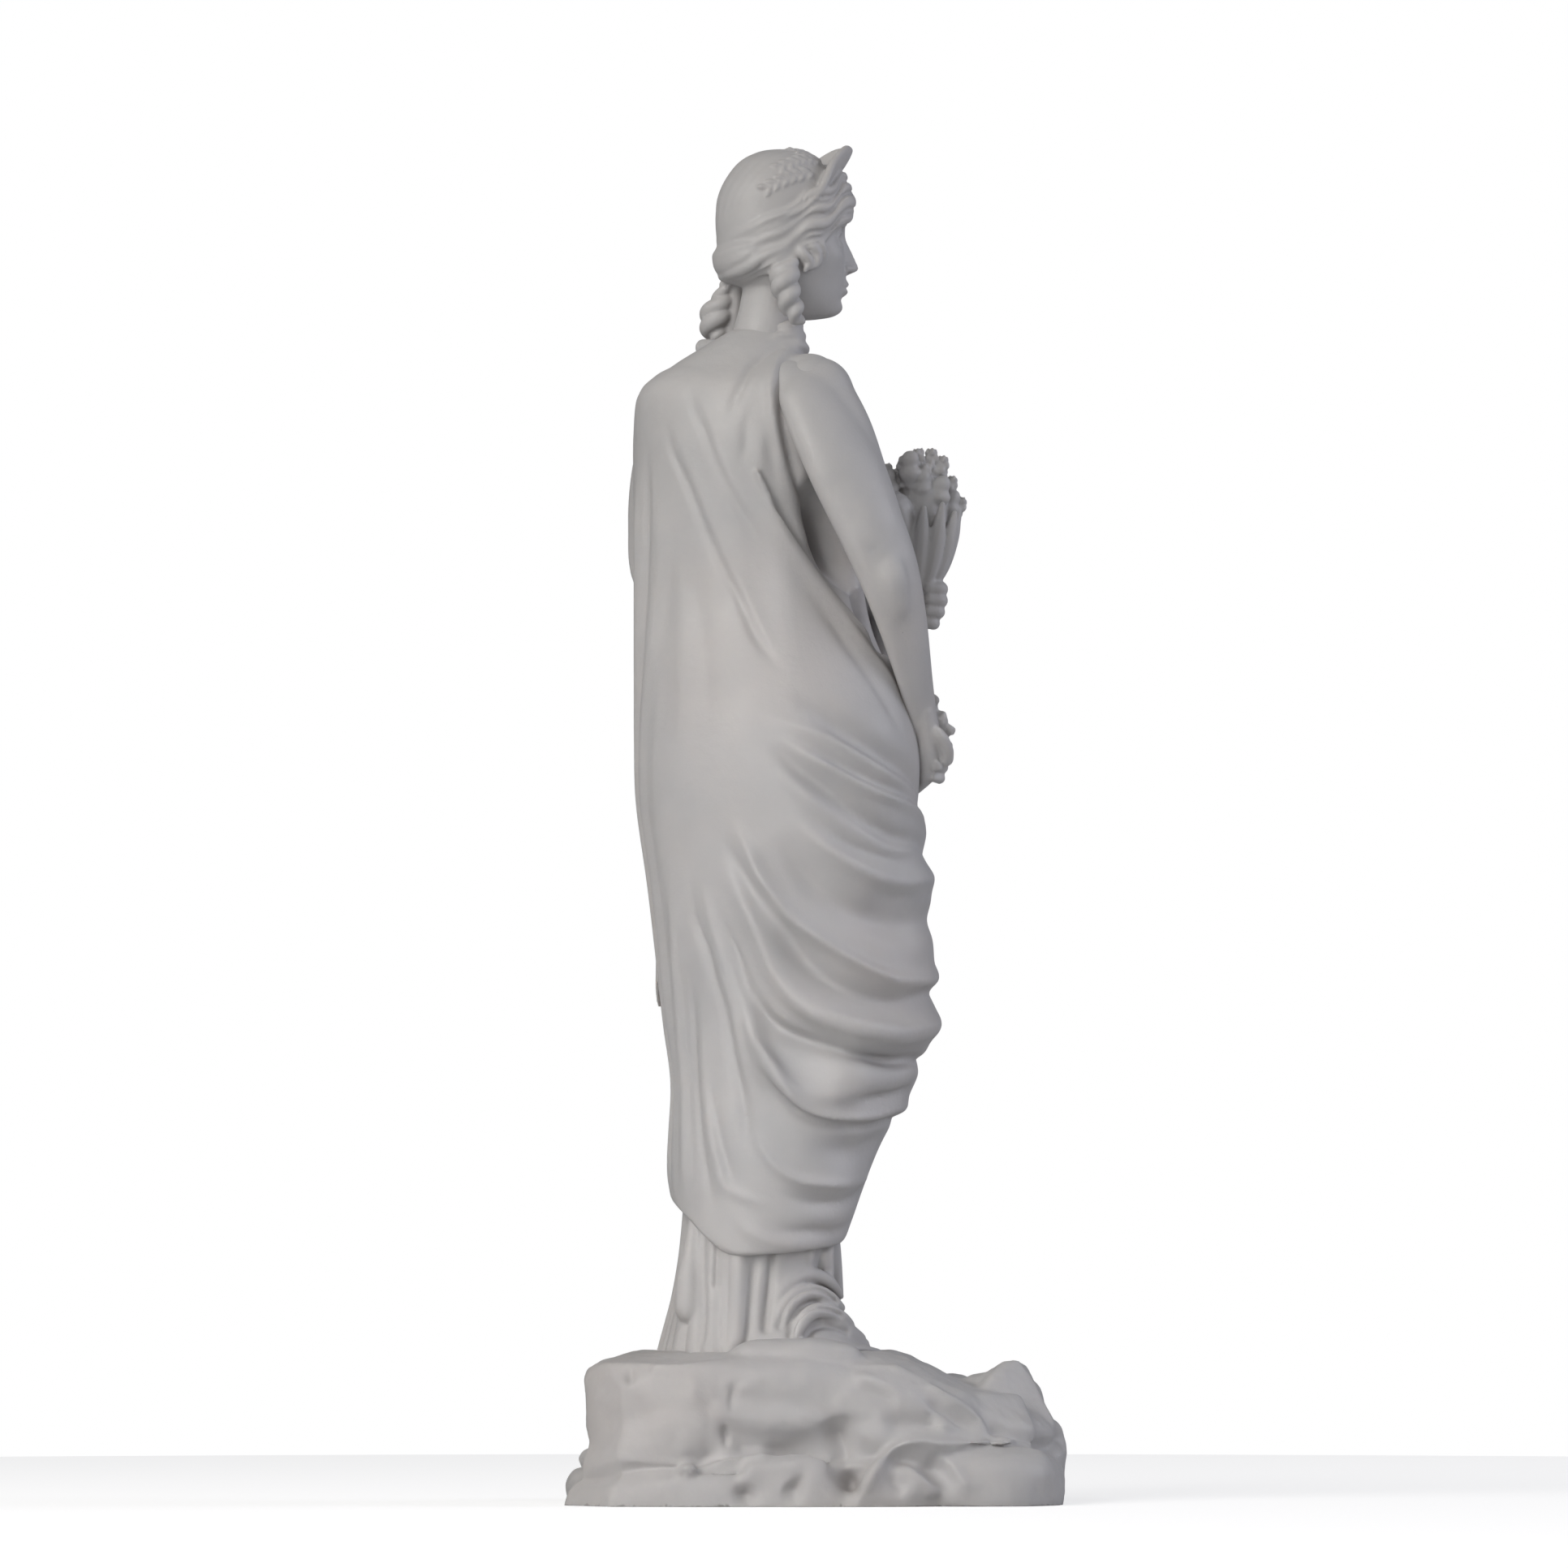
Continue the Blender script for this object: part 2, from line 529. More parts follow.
# Each fold: the side it is drawn from, its height (+ raised, - cut), its half-width and the line as
# (across, height). One that goes on round the body has its further course as well, as (degrees from the
# front through her left, height)
FOLDS = [
    (BACK_RIGHT, -1.9, 3, [(2, 204.5), (9.5, 200), (16.3, 195), (23, 190.8), (28.5, 187),
     (32, 184)], [(296, 180), (312, 174), (330, 167)]),
    (BACK_RIGHT, 1.4, 1.7, [(-2, 194), (2, 191.2), (7.9, 187.6), (12.9, 184.6), (18, 181.7), (23, 179.2),
     (28, 177.3), (32, 175.6)], [(300, 172.5), (318, 167), (338, 163)]),
    (BACK_RIGHT, -1.9, 2.2, [(-2, 192), (3.2, 186.4), (7.9, 182.4), (12.9, 179), (17, 175.8),
     (21.4, 172.6), (27.3, 168.8), (31.5, 166.6)], [(300, 165), (318, 161.5), (338, 160)]),
    (BACK_RIGHT, 0.9, 2, [(-2, 188), (1.5, 183.6), (6.2, 179), (11.2, 174.4), (16.3, 170.4),
     (20, 167.6)]),
    (BACK_RIGHT, -1, 1.7, [(6, 174.5), (10, 171), (14, 168), (20, 164.8), (27, 162.6),
     (32, 161.6)], [(300, 161), (320, 159.5)]),
    (BACK_RIGHT, 1.8, 2.5, [(2, 175), (5.6, 170.6), (9.6, 167.2), (14.6, 163.6), (19.7, 160.4),
     (24.8, 158), (29.8, 156.8), (33, 156.4)], [(304, 156), (320, 156), (342, 159)]),
    (BACK_RIGHT, -2.3, 3.6, [(0, 168), (4.5, 160.8), (10, 155.4), (16.3, 151.4), (21.4, 149),
     (27, 147.2), (32, 146.2)], [(302, 145.5), (322, 146), (346, 152)]),
    (BACK_RIGHT, -2.4, 2.7, [(-3, 150.5), (1.2, 143.8), (5.5, 138.4), (10.5, 133.8), (16, 130.4),
     (22, 128.4), (28, 127.4), (32, 127)], [(300, 126.5), (322, 127.5), (346, 134)]),
    (BACK_RIGHT, 1.5, 3, [(0, 133), (4, 129), (8, 126), (14.6, 122.8), (21.4, 120.8), (28.1, 119.6),
     (33, 119)], [(302, 118), (322, 119), (346, 125)]),
    (BACK_RIGHT, -2.4, 1.9, [(-9, 135), (-6.5, 128), (-3, 122.6), (0.3, 120.2), (4.5, 118.2),
     (9.6, 116.6), (14.6, 115.2), (19.7, 113.8), (24.8, 112.6), (30, 111.6)], [(298, 110.8), (320, 110),
     (346, 115)]),
    (BACK_RIGHT, 1.2, 3, [(2, 112), (9.6, 109.6), (17, 108.3), (24, 107.8), (28, 107.6)], [(298, 107),
     (320, 107)]),
    (BACK_RIGHT, -1.5, 1.5, [(13, 104), (17, 103.5), (21.4, 103.2), (26, 103)], [(300, 103),
     (320, 103)]),
    (BACK_RIGHT, -2, 3.8, [(6, 93.5), (12, 92), (17, 91), (22, 90.4)], [(298, 90), (322, 90)]),
    (BACK_RIGHT, 2, 8, [(12, 118), (17, 110), (18, 100)]),
    (BACK_RIGHT, 2.6, 3.8, [(-8, 124), (-6, 117), (-2.6, 111.5), (2.6, 107.4), (9, 105.6), (17, 105.6),
     (26, 107)]),
    (BACK_RIGHT, -1.8, 8, [(24, 160), (26, 148), (25, 138)]),
    (BACK_RIGHT, -12, 4.4, [(7.4, 258), (9.6, 251), (12.2, 244.6), (14.8, 238), (17.4, 232.4),
     (20, 226.4)]),
    (BACK_RIGHT, -5, 3.4, [(18.4, 230), (21.4, 223.6), (25, 215.6), (28, 210)]),
    (BACK_RIGHT, 2.2, 1.5, [(-12, 173), (-9, 167.5), (-6.5, 162.7), (-4, 157.6), (-0.6, 153),
     (3.6, 148.3), (8.7, 144), (14.6, 139.9), (19.7, 136.6), (24.8, 134), (31, 131.6)], [(300, 130.5),
     (320, 131.5), (344, 138), (356, 144)]),
    (BACK_RIGHT, 2.1, 2.3, [(-14.4, 162), (-9.9, 154.3), (-4.8, 143.3), (-1.4, 135.7), (2.8, 130),
     (7.9, 126.4), (14.6, 123.4), (21.4, 121.4), (28.1, 120.4), (32, 119.8)], [(302, 118.6),
     (322, 119.6), (346, 125)]),
    (BACK_RIGHT, 2, 1.4, [(-10.5, 131), (-8.6, 125.6), (-6.7, 120.4), (-4.8, 115.6), (-1.4, 110.5),
     (1.9, 106.4), (5.4, 103.2), (9.6, 100.8), (16.3, 99.4), (24.8, 98.9)], [(296, 98.8), (318, 98.8),
     (344, 103)]),
    (BACK_RIGHT, -1.7, 1.5, [(-2, 82.5), (0.8, 80.2), (3.8, 78.4), (7.9, 77.4), (12.9, 77),
     (17, 76.8)], [(300, 76.6), (320, 77)]),
    (BACK_RIGHT, 1.5, 1.2, [(14, 289.2), (8.5, 289.6), (4, 288.2), (0.6, 285), (-0.8, 280),
     (-0.8, 274.5), (0, 268.5), (1.4, 262.5), (3, 256)]),
    (None, -1.9, 2.6, [(316, 176), (334, 170), (352, 170), (12, 178), (30, 190)]),
    (None, 1.6, 2.4, [(322, 168), (340, 163), (356, 164), (14, 171), (32, 184)]),
    (None, -1.9, 2.6, [(326, 158), (344, 155), (0, 157), (16, 164), (34, 178)]),
    (None, 1.6, 2.2, [(330, 148), (346, 148), (2, 151), (18, 158), (36, 172)]),
    (None, -1.9, 2.4, [(330, 139), (348, 142), (4, 146), (20, 153), (38, 166)]),
    (None, 1.6, 2, [(338, 131), (352, 135), (8, 140), (24, 148), (40, 160)]),
    (None, -1.8, 2.2, [(336, 124), (352, 128), (8, 134), (24, 142), (42, 154)]),
    (None, 1.5, 2, [(338, 114), (354, 120), (10, 128), (26, 137), (44, 148)]),
    (None, -1.8, 2, [(336, 106), (354, 112), (10, 121), (28, 131), (46, 142)]),
    (None, 1.4, 1.8, [(336, 98), (354, 104), (12, 114), (30, 125), (48, 136)]),
    (None, -1.7, 1.8, [(334, 90), (354, 96), (12, 106), (32, 118), (50, 130)]),
    (None, 1.2, 1.6, [(332, 82), (354, 87), (14, 98), (34, 110)]),
    (None, -1.5, 1.6, [(330, 75), (354, 79), (14, 89), (34, 102)]),
    (LEFT, -1.2, 2, [(10, 210), (12, 170), (12, 120), (11, 84)]),
    (LEFT, -1.2, 1.8, [(-6, 110), (-6, 90), (-7, 82)]),
    (BACK_LEFT, -1.4, 1.4, [(-8, 266), (-7, 220), (-8, 170), (-7, 120), (-6, 74)]),
    (BACK_LEFT, -1.3, 1.4, [(6, 270), (3, 220), (0, 170), (0, 110), (1, 74)]),
]
# Splits and edges of the rock, drawn in the same way
ROCK_CUTS = [
    (BACK_RIGHT, -1, 1.6, [(-20, 13), (-17, 14.4), (-12.4, 17)]),
    (BACK_RIGHT, -1.6, 2.6, [(-12, 16.4), (-6, 16.8), (0, 16.6), (7.1, 17.2), (13, 19)]),
    (BACK_RIGHT, -0.8, 5, [(-44, 22), (-36, 23.4), (-28, 25)]),
    (BACK_RIGHT, 2.4, 1.7, [(-26, 11), (-19.2, 12), (-11, 13.2), (-3.7, 13.8), (4, 14.6), (12, 15.6)]),
    (BACK_RIGHT, -3.2, 2.6, [(-9, 9.6), (-8, 6.8), (-6.4, 4.2), (-5, 1.8)]),
    (BACK_RIGHT, -2.6, 2.6, [(2.6, 9), (5, 7), (8, 6)]),
    (BACK_RIGHT, -5.6, 3.5, [(14, 25), (15.4, 20.5), (16.8, 16), (17.8, 12)]),
    (BACK_RIGHT, -7.5, 3.1, [(17.6, 15), (18, 11), (19, 8), (22, 6.4)]),
    (BACK_RIGHT, 2.5, 1.6, [(21.6, 5), (23.6, 9.6), (26, 13.6), (29.6, 16.6), (35, 17.9), (40.9, 17),
     (50, 17), (60, 17.2)]),
    (BACK_RIGHT, -2.4, 2.8, [(26, 21.6), (31, 22.4), (36.8, 22.2), (43, 21.4)]),
    (BACK_RIGHT, -1.2, 2, [(19, 31.6), (25, 29.6), (31, 27)]),
    (BACK_RIGHT, 1, 1.5, [(18, 35), (22, 33.6), (28, 30.8), (33, 28.4)]),
    (BACK_RIGHT, -1.6, 1.6, [(36, 29.8), (40, 26.8), (45, 22.8), (49, 19.6)]),
    (BACK_RIGHT, 1.8, 1.5, [(36, 32.4), (40.9, 29), (46.3, 25.2), (50.7, 21.4), (54, 18.4)]),
    (BACK_RIGHT, -1.8, 2.6, [(26, 12), (29.4, 8.4), (33, 4.4)]),
    (BACK_RIGHT, 1.5, 1.7, [(30, 14.4), (33.4, 11.2), (37.4, 7.6), (41.8, 4.4)]),
    (BACK_RIGHT, -1.8, 2.2, [(36.4, 14.2), (40.4, 10.4), (45, 6)]),
    (BACK_RIGHT, 1.3, 1.7, [(39.6, 15.8), (43, 12), (46, 8.4), (49.4, 4.4)]),
    (FRONT, -3.4, 2.2, [(-30, 30), (-27, 18), (-30, 6)]),
    (FRONT, -3, 2.4, [(0, 34), (4, 22), (2, 10)]),
    (FRONT, -3.2, 2.8, [(-40, 14), (-20, 12), (-4, 15), (10, 13)]),
    (FRONT, -3, 2.4, [(14, 12), (28, 14), (44, 12)]),
    (FRONT, -2.6, 2, [(20, 34), (24, 26), (21, 18)]),
    (LEFT, -3.4, 2.2, [(-8, 32), (-4, 20), (-6, 8)]),
    (LEFT, -3.2, 2.8, [(8, 14), (24, 12), (40, 14)]),
    (LEFT, -3, 2.2, [(-34, 18), (-20, 16), (-6, 19)]),
    (LEFT, -2.6, 2, [(16, 34), (20, 26), (17, 17)]),
    (BACK_LEFT, -3.2, 2.2, [(-14, 30), (-10, 18), (-13, 6)]),
    (BACK_LEFT, -2.8, 2.8, [(-4, 14), (12, 12), (26, 13)]),
    (BACK, -3, 2.2, [(-24, 33), (-20, 22), (-24, 12)]),
    (BACK, -3, 2.6, [(-30, 12), (-10, 10), (8, 13), (26, 11)]),
    (RIGHT_SIDE, -3, 2.4, [(-30, 14), (-12, 16), (4, 12)]),
    (FRONT_RIGHT, -2.4, 2.4, [(-30, 22), (-12, 18), (4, 22)]),
    (FRONT_RIGHT, -2.4, 2.2, [(14, 32), (18, 20), (12, 8)]),
]


# ---------------------------------------------------------------- skirt and feet
def skirt():
    """The gown under the mantle's hem: a core flaring on to the rock, pleats in front and at the left."""
    core = Figure([(r[0], *r[1:3], *(v - 1.4 for v in r[3:])) for r in GOWN]).solid(31, 96)
    figure = Figure(GOWN)
    parts = [core]
    rng = np.random.default_rng(5)
    degrees = 20.0
    while degrees < 372:
        r = rng.uniform(2.0, 2.9)
        if not 205 < degrees % 360 < 342:
            a = math.radians(degrees - 90)
            k = degrees / 360 * AROUND
            top, mid, low = (ring_at(figure, z, k) for z in (88, 60, 35.0))
            out = np.array([math.cos(a), math.sin(a), 0])
            parts.append(tube([top - out * 3.2, mid - out * 2.2, low - out * 2.2], (r * 0.8, r, r * 1.35),
                              14))
        degrees += r * 4.6
    return parts


def ring_at(figure, z, k):
    ring = figure.ring(z)
    i = int(k) % AROUND
    return ring[i] + (ring[(i + 1) % AROUND] - ring[i]) * (k - int(k))


def skirt_right():
    """Its folds on the right side, over the foot."""
    rows = [
        # along the body's surface: across, near, height; thickness
        ([(-20.0, 8.0, 70), (-20.8, 9.6, 62), (-21.4, 11.0, 55), (-21.5, 11.8, 48.4)],
         (1.6, 2.4, 3.2, 3.5)),
        ([(-15.0, 12.4, 80), (-15.0, 13.0, 66), (-15.2, 13.6, 54), (-15.6, 14.6, 38)],
         (1.6, 2.2, 2.6, 3.2)),
        ([(-8.6, 13.8, 82), (-9.0, 14.6, 66), (-9.2, 15.2, 52), (-9.6, 16.2, 38.0)], (3.4, 4.4, 4.6, 4.8)),
        ([(-3.2, 15.0, 80), (-3.6, 15.6, 62), (-4.6, 16.6, 48), (-5.6, 17.8, 38)], (1.8, 2.4, 2.6, 2.8)),
        # folds thrown over the instep, one outside the other
        ([(-0.8, 16.4, 45), (0.2, 16.4, 51.5), (4.2, 14.4, 55.6), (9.0, 11.0, 57.0), (13.6, 6.5, 55.0),
          (16.4, 1.5, 51.5)],
         (1.5, 1.9, 2.0, 1.9, 1.6, 1.0)),
        ([(1.5, 18.0, 42.5), (2.6, 18.0, 48), (5.6, 16.0, 51.4), (9.6, 13.0, 52.6), (13.4, 8.8, 51.2),
          (16.4, 4.5, 48.6)],
         (1.5, 1.9, 2.0, 2.0, 1.8, 1.3)),
        ([(4.9, 19.2, 41), (6.8, 18.8, 45.4), (9.8, 16.4, 47.8), (13.4, 12.4, 47.6), (16.6, 8.0, 46.2),
          (18.6, 3.5, 44.6)],
         (1.5, 1.9, 2.0, 1.9, 1.7, 1.3)),
        ([(15.2, -2.5, 52), (14.6, -2.5, 60), (13.6, -2.8, 72)], (2.0, 2.2, 2.2)),
        ([(13.0, 5.0, 57), (12.6, 5.0, 64), (12.2, 5.0, 74)], (1.8, 2.2, 2.4)),
        ([(8.0, 11.6, 59), (8.2, 12.0, 66), (8.4, 12.4, 76)], (1.4, 2.2, 2.4)),
    ]
    return [tube(ats(line), r, 16) for line, r in rows]


def right_foot():
    """Instep under the folds, the toes and the sole of a sandal."""
    return [
        ellipsoid(at(9.0, 6.0, 45.0), (7.6, 8.6, 8.0), turn=40),
        tube(ats([(8.0, 12.5, 42.4), (13.0, 9.0, 42.8), (17.0, 3.6, 41.8), (20.4, -2.8, 40.4)]),
             (3.6, 4.0, 3.6, 2.6), 20),
        tube(ats([(9.0, 13.0, 38.6), (14.0, 10.0, 38.6), (19.0, 3.0, 38.2), (23.0, -5.0, 37.6)]),
             (4.6, 5.4, 5.2, 4.2), 20, flat=0.3),
    ] + [tube(ats([(18.6 + 1.2 * k, -1.6 - 0.5 * k, 41.0), (20.6 + 1.05 * k, -5.0 - 0.3 * k, 40.4),
                   (21.6 + 1.0 * k, -6.6 - 0.2 * k, 39.6)]),
                1.25, 12) for k in range(-3, 2)]


def left_foot():
    parts = [tube(xyz([(13, -10, 43), (14, -20, 42), (15, -27.5, 40.4)]), (6.4, 5.4, 3.6), 18),
             tube(xyz([(13, -12, 38.6), (14, -21, 38.6), (15.4, -31, 38.0)]), (6.6, 6.4, 5.4), 18,
                  flat=0.3)]
    for k in range(5):
        parts.append(tube(xyz([(11.2 + 1.9 * k, -27.0 - 0.4 * (2 - abs(k - 1)), 41.0),
                               (11.4 + 1.95 * k, -30.6 - 0.5 * (2 - abs(k - 1)), 40.6)]),
                          1.35, 10))
    return parts


# ---------------------------------------------------------------- rock
BASE_CENTRE = (9.3, -2.0)
# height, then eight radii from the base's centre: front, front left, left, back left, back, back right,
# right, front right
BASE = [
    (-4, 55, 44, 50, 61.5, 53, 43, 53, 61.5),
    (0, 55, 44, 50, 61.5, 53, 43, 53, 60.6),
    (4, 55.5, 44.5, 50, 61.5, 53, 43.5, 54, 61.4),
    (9, 55.5, 44, 48, 58.5, 50, 42.0, 53.5, 61.6),
    (14, 54, 42.5, 45, 55.5, 46.5, 40.0, 52, 61.5),
    (20, 52.5, 42, 45, 55.0, 46, 39.5, 50, 59.0),
    (26, 49, 42, 47, 56.5, 48, 41, 48, 50),
    (31, 42, 38, 46.5, 56.5, 48, 41, 42, 35),
    (35, 35, 32, 43, 53.5, 44.5, 38, 34, 24),
    (37.6, 29, 26, 35, 45.0, 36, 30, 26, 18),
]


def base_block():
    rows = smooth_path(BASE, 5)
    a = ring_angles()
    c = at(*BASE_CENTRE, 0)
    rings = []
    for row in rows:
        r = around(row[1:])
        r = r * (1 + 0.02 * np.sin(3 * a + 1.0 + row[0] * 0.05) + 0.018 * np.sin(5 * a + 0.6 - row[0] * 0.04))
        rings.append(np.column_stack([c[0] + r * np.cos(a), c[1] + r * np.sin(a), np.full(AROUND, row[0])]))
    return rings_to_mesh(rings)


def block(centre, radii, turn=0.0, tilt=0.0, roll=0.0, power=3.2):
    """A worn stone block: an ellipsoid squared off towards its box."""
    verts, faces = ellipsoid((0, 0, 0), (1, 1, 1), sides=40)
    squared = (np.abs(verts) ** power).sum(1) ** (-1 / power)
    m = (Matrix.Rotation(math.radians(turn), 3, "Z") @ Matrix.Rotation(math.radians(tilt), 3, "X")
         @ Matrix.Rotation(math.radians(roll), 3, "Y"))
    return (verts * squared[:, None] * radii) @ np.array(m).T + centre, faces


def split_stone(corners):
    """A stone with flat faces: the hull of its corners, given as across, near and height."""
    bm = bmesh.new()
    for corner in ats(corners):
        bm.verts.new(corner)
    loose = bmesh.ops.convex_hull(bm, input=bm.verts)
    inner = [g for g in loose["geom_unused"] + loose["geom_interior"] if isinstance(g, bmesh.types.BMVert)]
    bmesh.ops.delete(bm, geom=list(set(inner)), context="VERTS")
    bm.verts.index_update()
    verts = np.array([v.co for v in bm.verts])
    faces = [tuple(v.index for v in f.verts) for f in bm.faces]
    bm.free()
    return verts, faces


# across, near, height, three radii (along, through, up), turn, tilt, roll
BLOCKS = [
    # right side: the arch, the mass behind it, the top under the feet
    (46, 8.0, 4.0, 25.5, 31.0, 12.0, 45, 0, 0), (31, 8.0, 20.0, 20.0, 24.0, 10.5, 45, 0, 0),
    (5, 25.0, 35.4, 16.5, 8.6, 5.8, 45, 0, 0),
    # front, left and back
    (-34, -22.0, 24.0, 13.0, 13.0, 12.5, 60, 3, 0),
    (-38, -10.0, 6.0, 14.0, 22.0, 8.5, 45, 0, 0), (-14, -36.0, 23.0, 15.0, 11.0, 12.0, 20, 5, 0),
    (-12, -40.0, 6.0, 18.0, 10.0, 8.0, 45, 0, 0), (14, -38.0, 21.0, 14.0, 11.0, 12.5, 60, -4, 0),
    (20, -42.0, 6.0, 17.0, 9.0, 8.0, 35, 0, 0), (40, -28.0, 20.0, 14.0, 13.0, 11.5, 70, -5, 0),
    (46, -26.0, 6.0, 15.0, 14.0, 8.0, 45, 0, 0), (56, -14.0, 22.0, 11.0, 13.0, 10.0, 30, 0, 0),
]
# across, near, height of the corners of each split stone
STONES = [
    # the left part: its face, and the foot of it, sloping out
    [(-42, 30, 35.5), (-46.5, 20, 34), (-20, 38, 35.5), (-20, 0, 37), (-46, -8, 34), (-47.4, 22, 30),
     (-46.0, 23, 18), (-38, 36, 29),
     (-38, 37, 14), (-20, 40, 28), (-14, 39.4, 20), (-14, 38.4, 16), (-23, 40, 11.6), (-45.6, 25, 12),
     (-38, 37.6, 10), (-47, -12, 28), (-46, -12, 12)],
    [(-45.4, 24, 16), (-47.4, 25, 11), (-50.2, 26, 7), (-53.0, 25, -4), (-38, 38.8, 12.4), (-20, 41.6, 11),
     (-41, 41, -4), (-18, 43, -4),
     (-45, -8, 16), (-53.0, -10, -4), (-18, -10, 12)],
    # the upper mass with its ledge, and the wall under the ledge
    [(-31, 37, 35.0), (-30, 38.2, 22), (-24, 38, 35.5), (-24, 39.5, 22), (-10, 40.2, 21.5), (8, 39.4, 21),
     (-10, 38.8, 18.4), (8, 38.4, 18), (17, 37, 21), (21, 33, 27), (17, 34, 34.5), (-24, 0, 37),
     (18, 0, 37), (-24, 10, 20), (18, 10, 20)],
    [(-24, 38.5, 24), (-24, 39.6, 8), (15, 37.0, 22), (16, 37.0, 8), (-24, 10, 24), (16, 10, 24),
     (-24, 10, 8), (16, 10, 8)],
    # the lower mass and its lit top
    [(-22, 38, 9.2), (-20, 41.5, 8.0), (-8, 42.5, 10.0), (3, 43, 10.6), (9, 42, 12.4), (13.4, 41, 13.2),
     (15, 38, 12.6), (15.4, 37, 3),
     (14, 43, -4), (-22, 43, -4), (-22, 12, 11), (14, 12, 13)],
    # the peak at the front right corner
    [(56.5, 0, 35.6), (61.0, -1, 36.4), (63.2, -6, 35.0), (66.0, 0, 28.6), (70.0, 2, 20), (72.4, -2, 10),
     (72.0, 0, -4),
     (51.5, 8, 29.0), (47.5, 12, 20), (50, -14, 30), (66, -14, 22), (70, -10, 6), (50, 16, 4), (66, 12, 4),
     (64, 10, 16)],
    # the slab whose lit edge runs down to the right
    [(20, 33, 35.0), (30, 32, 34.4), (38, 30, 30.4), (47, 28, 25.4), (54, 25, 18.8), (42, 36, 19),
     (26, 38, 21), (22, 36, 25),
     (22, 6, 36.0), (34, 6, 31.6), (54, 8, 22)],
    # the pale mass between slab and peak
    [(40, 35, 17), (50, 32, 16.5), (60, 27, 16), (66, 20, 15), (41, 28, 26.5), (52, 21, 27.5),
     (61, 12, 27.5), (38, 10, 26), (64, 4, 20),
     (38, 10, 16)],
    # the stone under the toes
    [(21, 18, 37.6), (33, 16, 36.8), (33.5, 12, 36.6), (20, -4, 37.6), (32, -2, 36.6), (36, 18, 30),
     (20, 26, 30), (36, -4, 28)],
]


def rock_piece():
    blocks = [block(at(*row[:3]), row[3:6], *row[6:]) for row in BLOCKS]
    return [base_block()] + blocks + [split_stone(corners) for corners in STONES]


# ---------------------------------------------------------------- head
HEAD = at(2.0, -2.0, 318.5)
FACING = math.radians(27)
FORWARD = np.array([-math.sin(FACING), -math.cos(FACING), 0])
RIGHT = np.array([-math.cos(FACING), math.sin(FACING), 0])


def head_at(forward, side, up):
    return HEAD + forward * FORWARD + side * RIGHT + np.array([0, 0, up])


def heads(rows):
    return np.array([head_at(*r) for r in rows])


def head_egg(forward, side, up, radii, turn=0.0, tilt=0.0, sides=28):
    """Ellipsoid in the head's frame: radii are (side, forward, up)."""
    return ellipsoid(head_at(forward, side, up), radii, turn - math.degrees(FACING), tilt, sides=sides)


# height, then radii at these angles from the nose round to the nape
SKULL_ANGLES = (0, 20, 40, 65, 90, 135, 180)
SKULL = [
    (-21.2, 8.5, 7.6, 6.0, 5.0, 4.2, 2.5, 2.0),
    (-20.3, 13.2, 11.2, 8.6, 6.8, 5.8, 3.5, 3.0),
    (-18.6, 14.8, 13.0, 10.6, 8.6, 7.4, 5.0, 4.5),
    (-16.2, 15.0, 13.9, 12.0, 10.2, 9.2, 7.5, 7.0),
    (-13.0, 15.8, 14.7, 13.0, 11.5, 10.8, 10.3, 11.0),
    (-9.0, 16.0, 15.2, 14.0, 12.6, 11.8, 12.8, 14.0),
    (-5.0, 15.6, 15.1, 14.6, 13.4, 12.4, 14.5, 16.4),
    (-1.0, 15.5, 14.9, 14.3, 13.4, 12.8, 15.3, 17.4),
    (2.0, 16.1, 15.8, 14.8, 13.6, 12.9, 15.5, 17.7),
    (5.0, 16.1, 15.8, 14.8, 13.6, 12.9, 15.5, 17.7),
    (9.0, 15.6, 15.2, 14.4, 13.4, 12.9, 15.2, 17.2),
    (13.5, 13.6, 13.4, 13.0, 12.4, 12.0, 13.8, 15.2),
    (18.1, 9.8, 9.8, 9.7, 9.6, 9.4, 10.6, 11.6),
    (20.7, 5.6, 5.6, 5.6, 5.6, 5.6, 6.4, 7.0),
    (21.5, 2.0, 2.0, 2.0, 2.0, 2.0, 2.4, 2.6),
]


def skull():
    a = np.arange(AROUND) * FULL / AROUND
    half = np.degrees(np.minimum(a, FULL - a))
    rings = []
    for row in smooth_path(SKULL, 5):
        r = np.interp(half, SKULL_ANGLES, row[1:])
        r = (np.roll(r, 2) + 2 * np.roll(r, 1) + 3 * r + 2 * np.roll(r, -1) + np.roll(r, -2)) / 9
        rings.append(np.array([head_at(r[i] * math.cos(a[i]), -r[i] * math.sin(a[i]), row[0])
                               for i in range(AROUND)]))
    return rings_to_mesh(rings)


def face():
    """Nose, lips, chin and cheeks, as low swellings."""
    parts = [
        tube(heads([(15.2, 0, 3.0), (15.8, 0, -0.5), (17.2, 0, -4.0), (18.8, 0, -7.0)]),
             (1.6, 1.3, 1.5, 1.5), 12),
        head_egg(18.0, 0, -7.2, (1.7, 1.9, 1.5)),
        head_egg(13.8, 0, -18.0, (4.2, 2.6, 2.8)),
        tube(heads([(15.0, -3.6, -12.6), (16.6, 0, -12.2), (15.0, 3.6, -12.6)]), (0.6, 1.2, 0.6), 10),
        tube(heads([(15.0, -3.2, -14.2), (16.2, 0, -14.2), (15.0, 3.2, -14.2)]), (0.6, 1.2, 0.6), 10),
    ]
    for s in (-1, 1):
        parts.append(tube(heads([(15.2, 1.8 * s, 2.6), (14.9, 5.2 * s, 3.4), (12.6, 9.0 * s, 2.0)]),
                          (0.8, 1.0, 0.8), 10))
    return parts


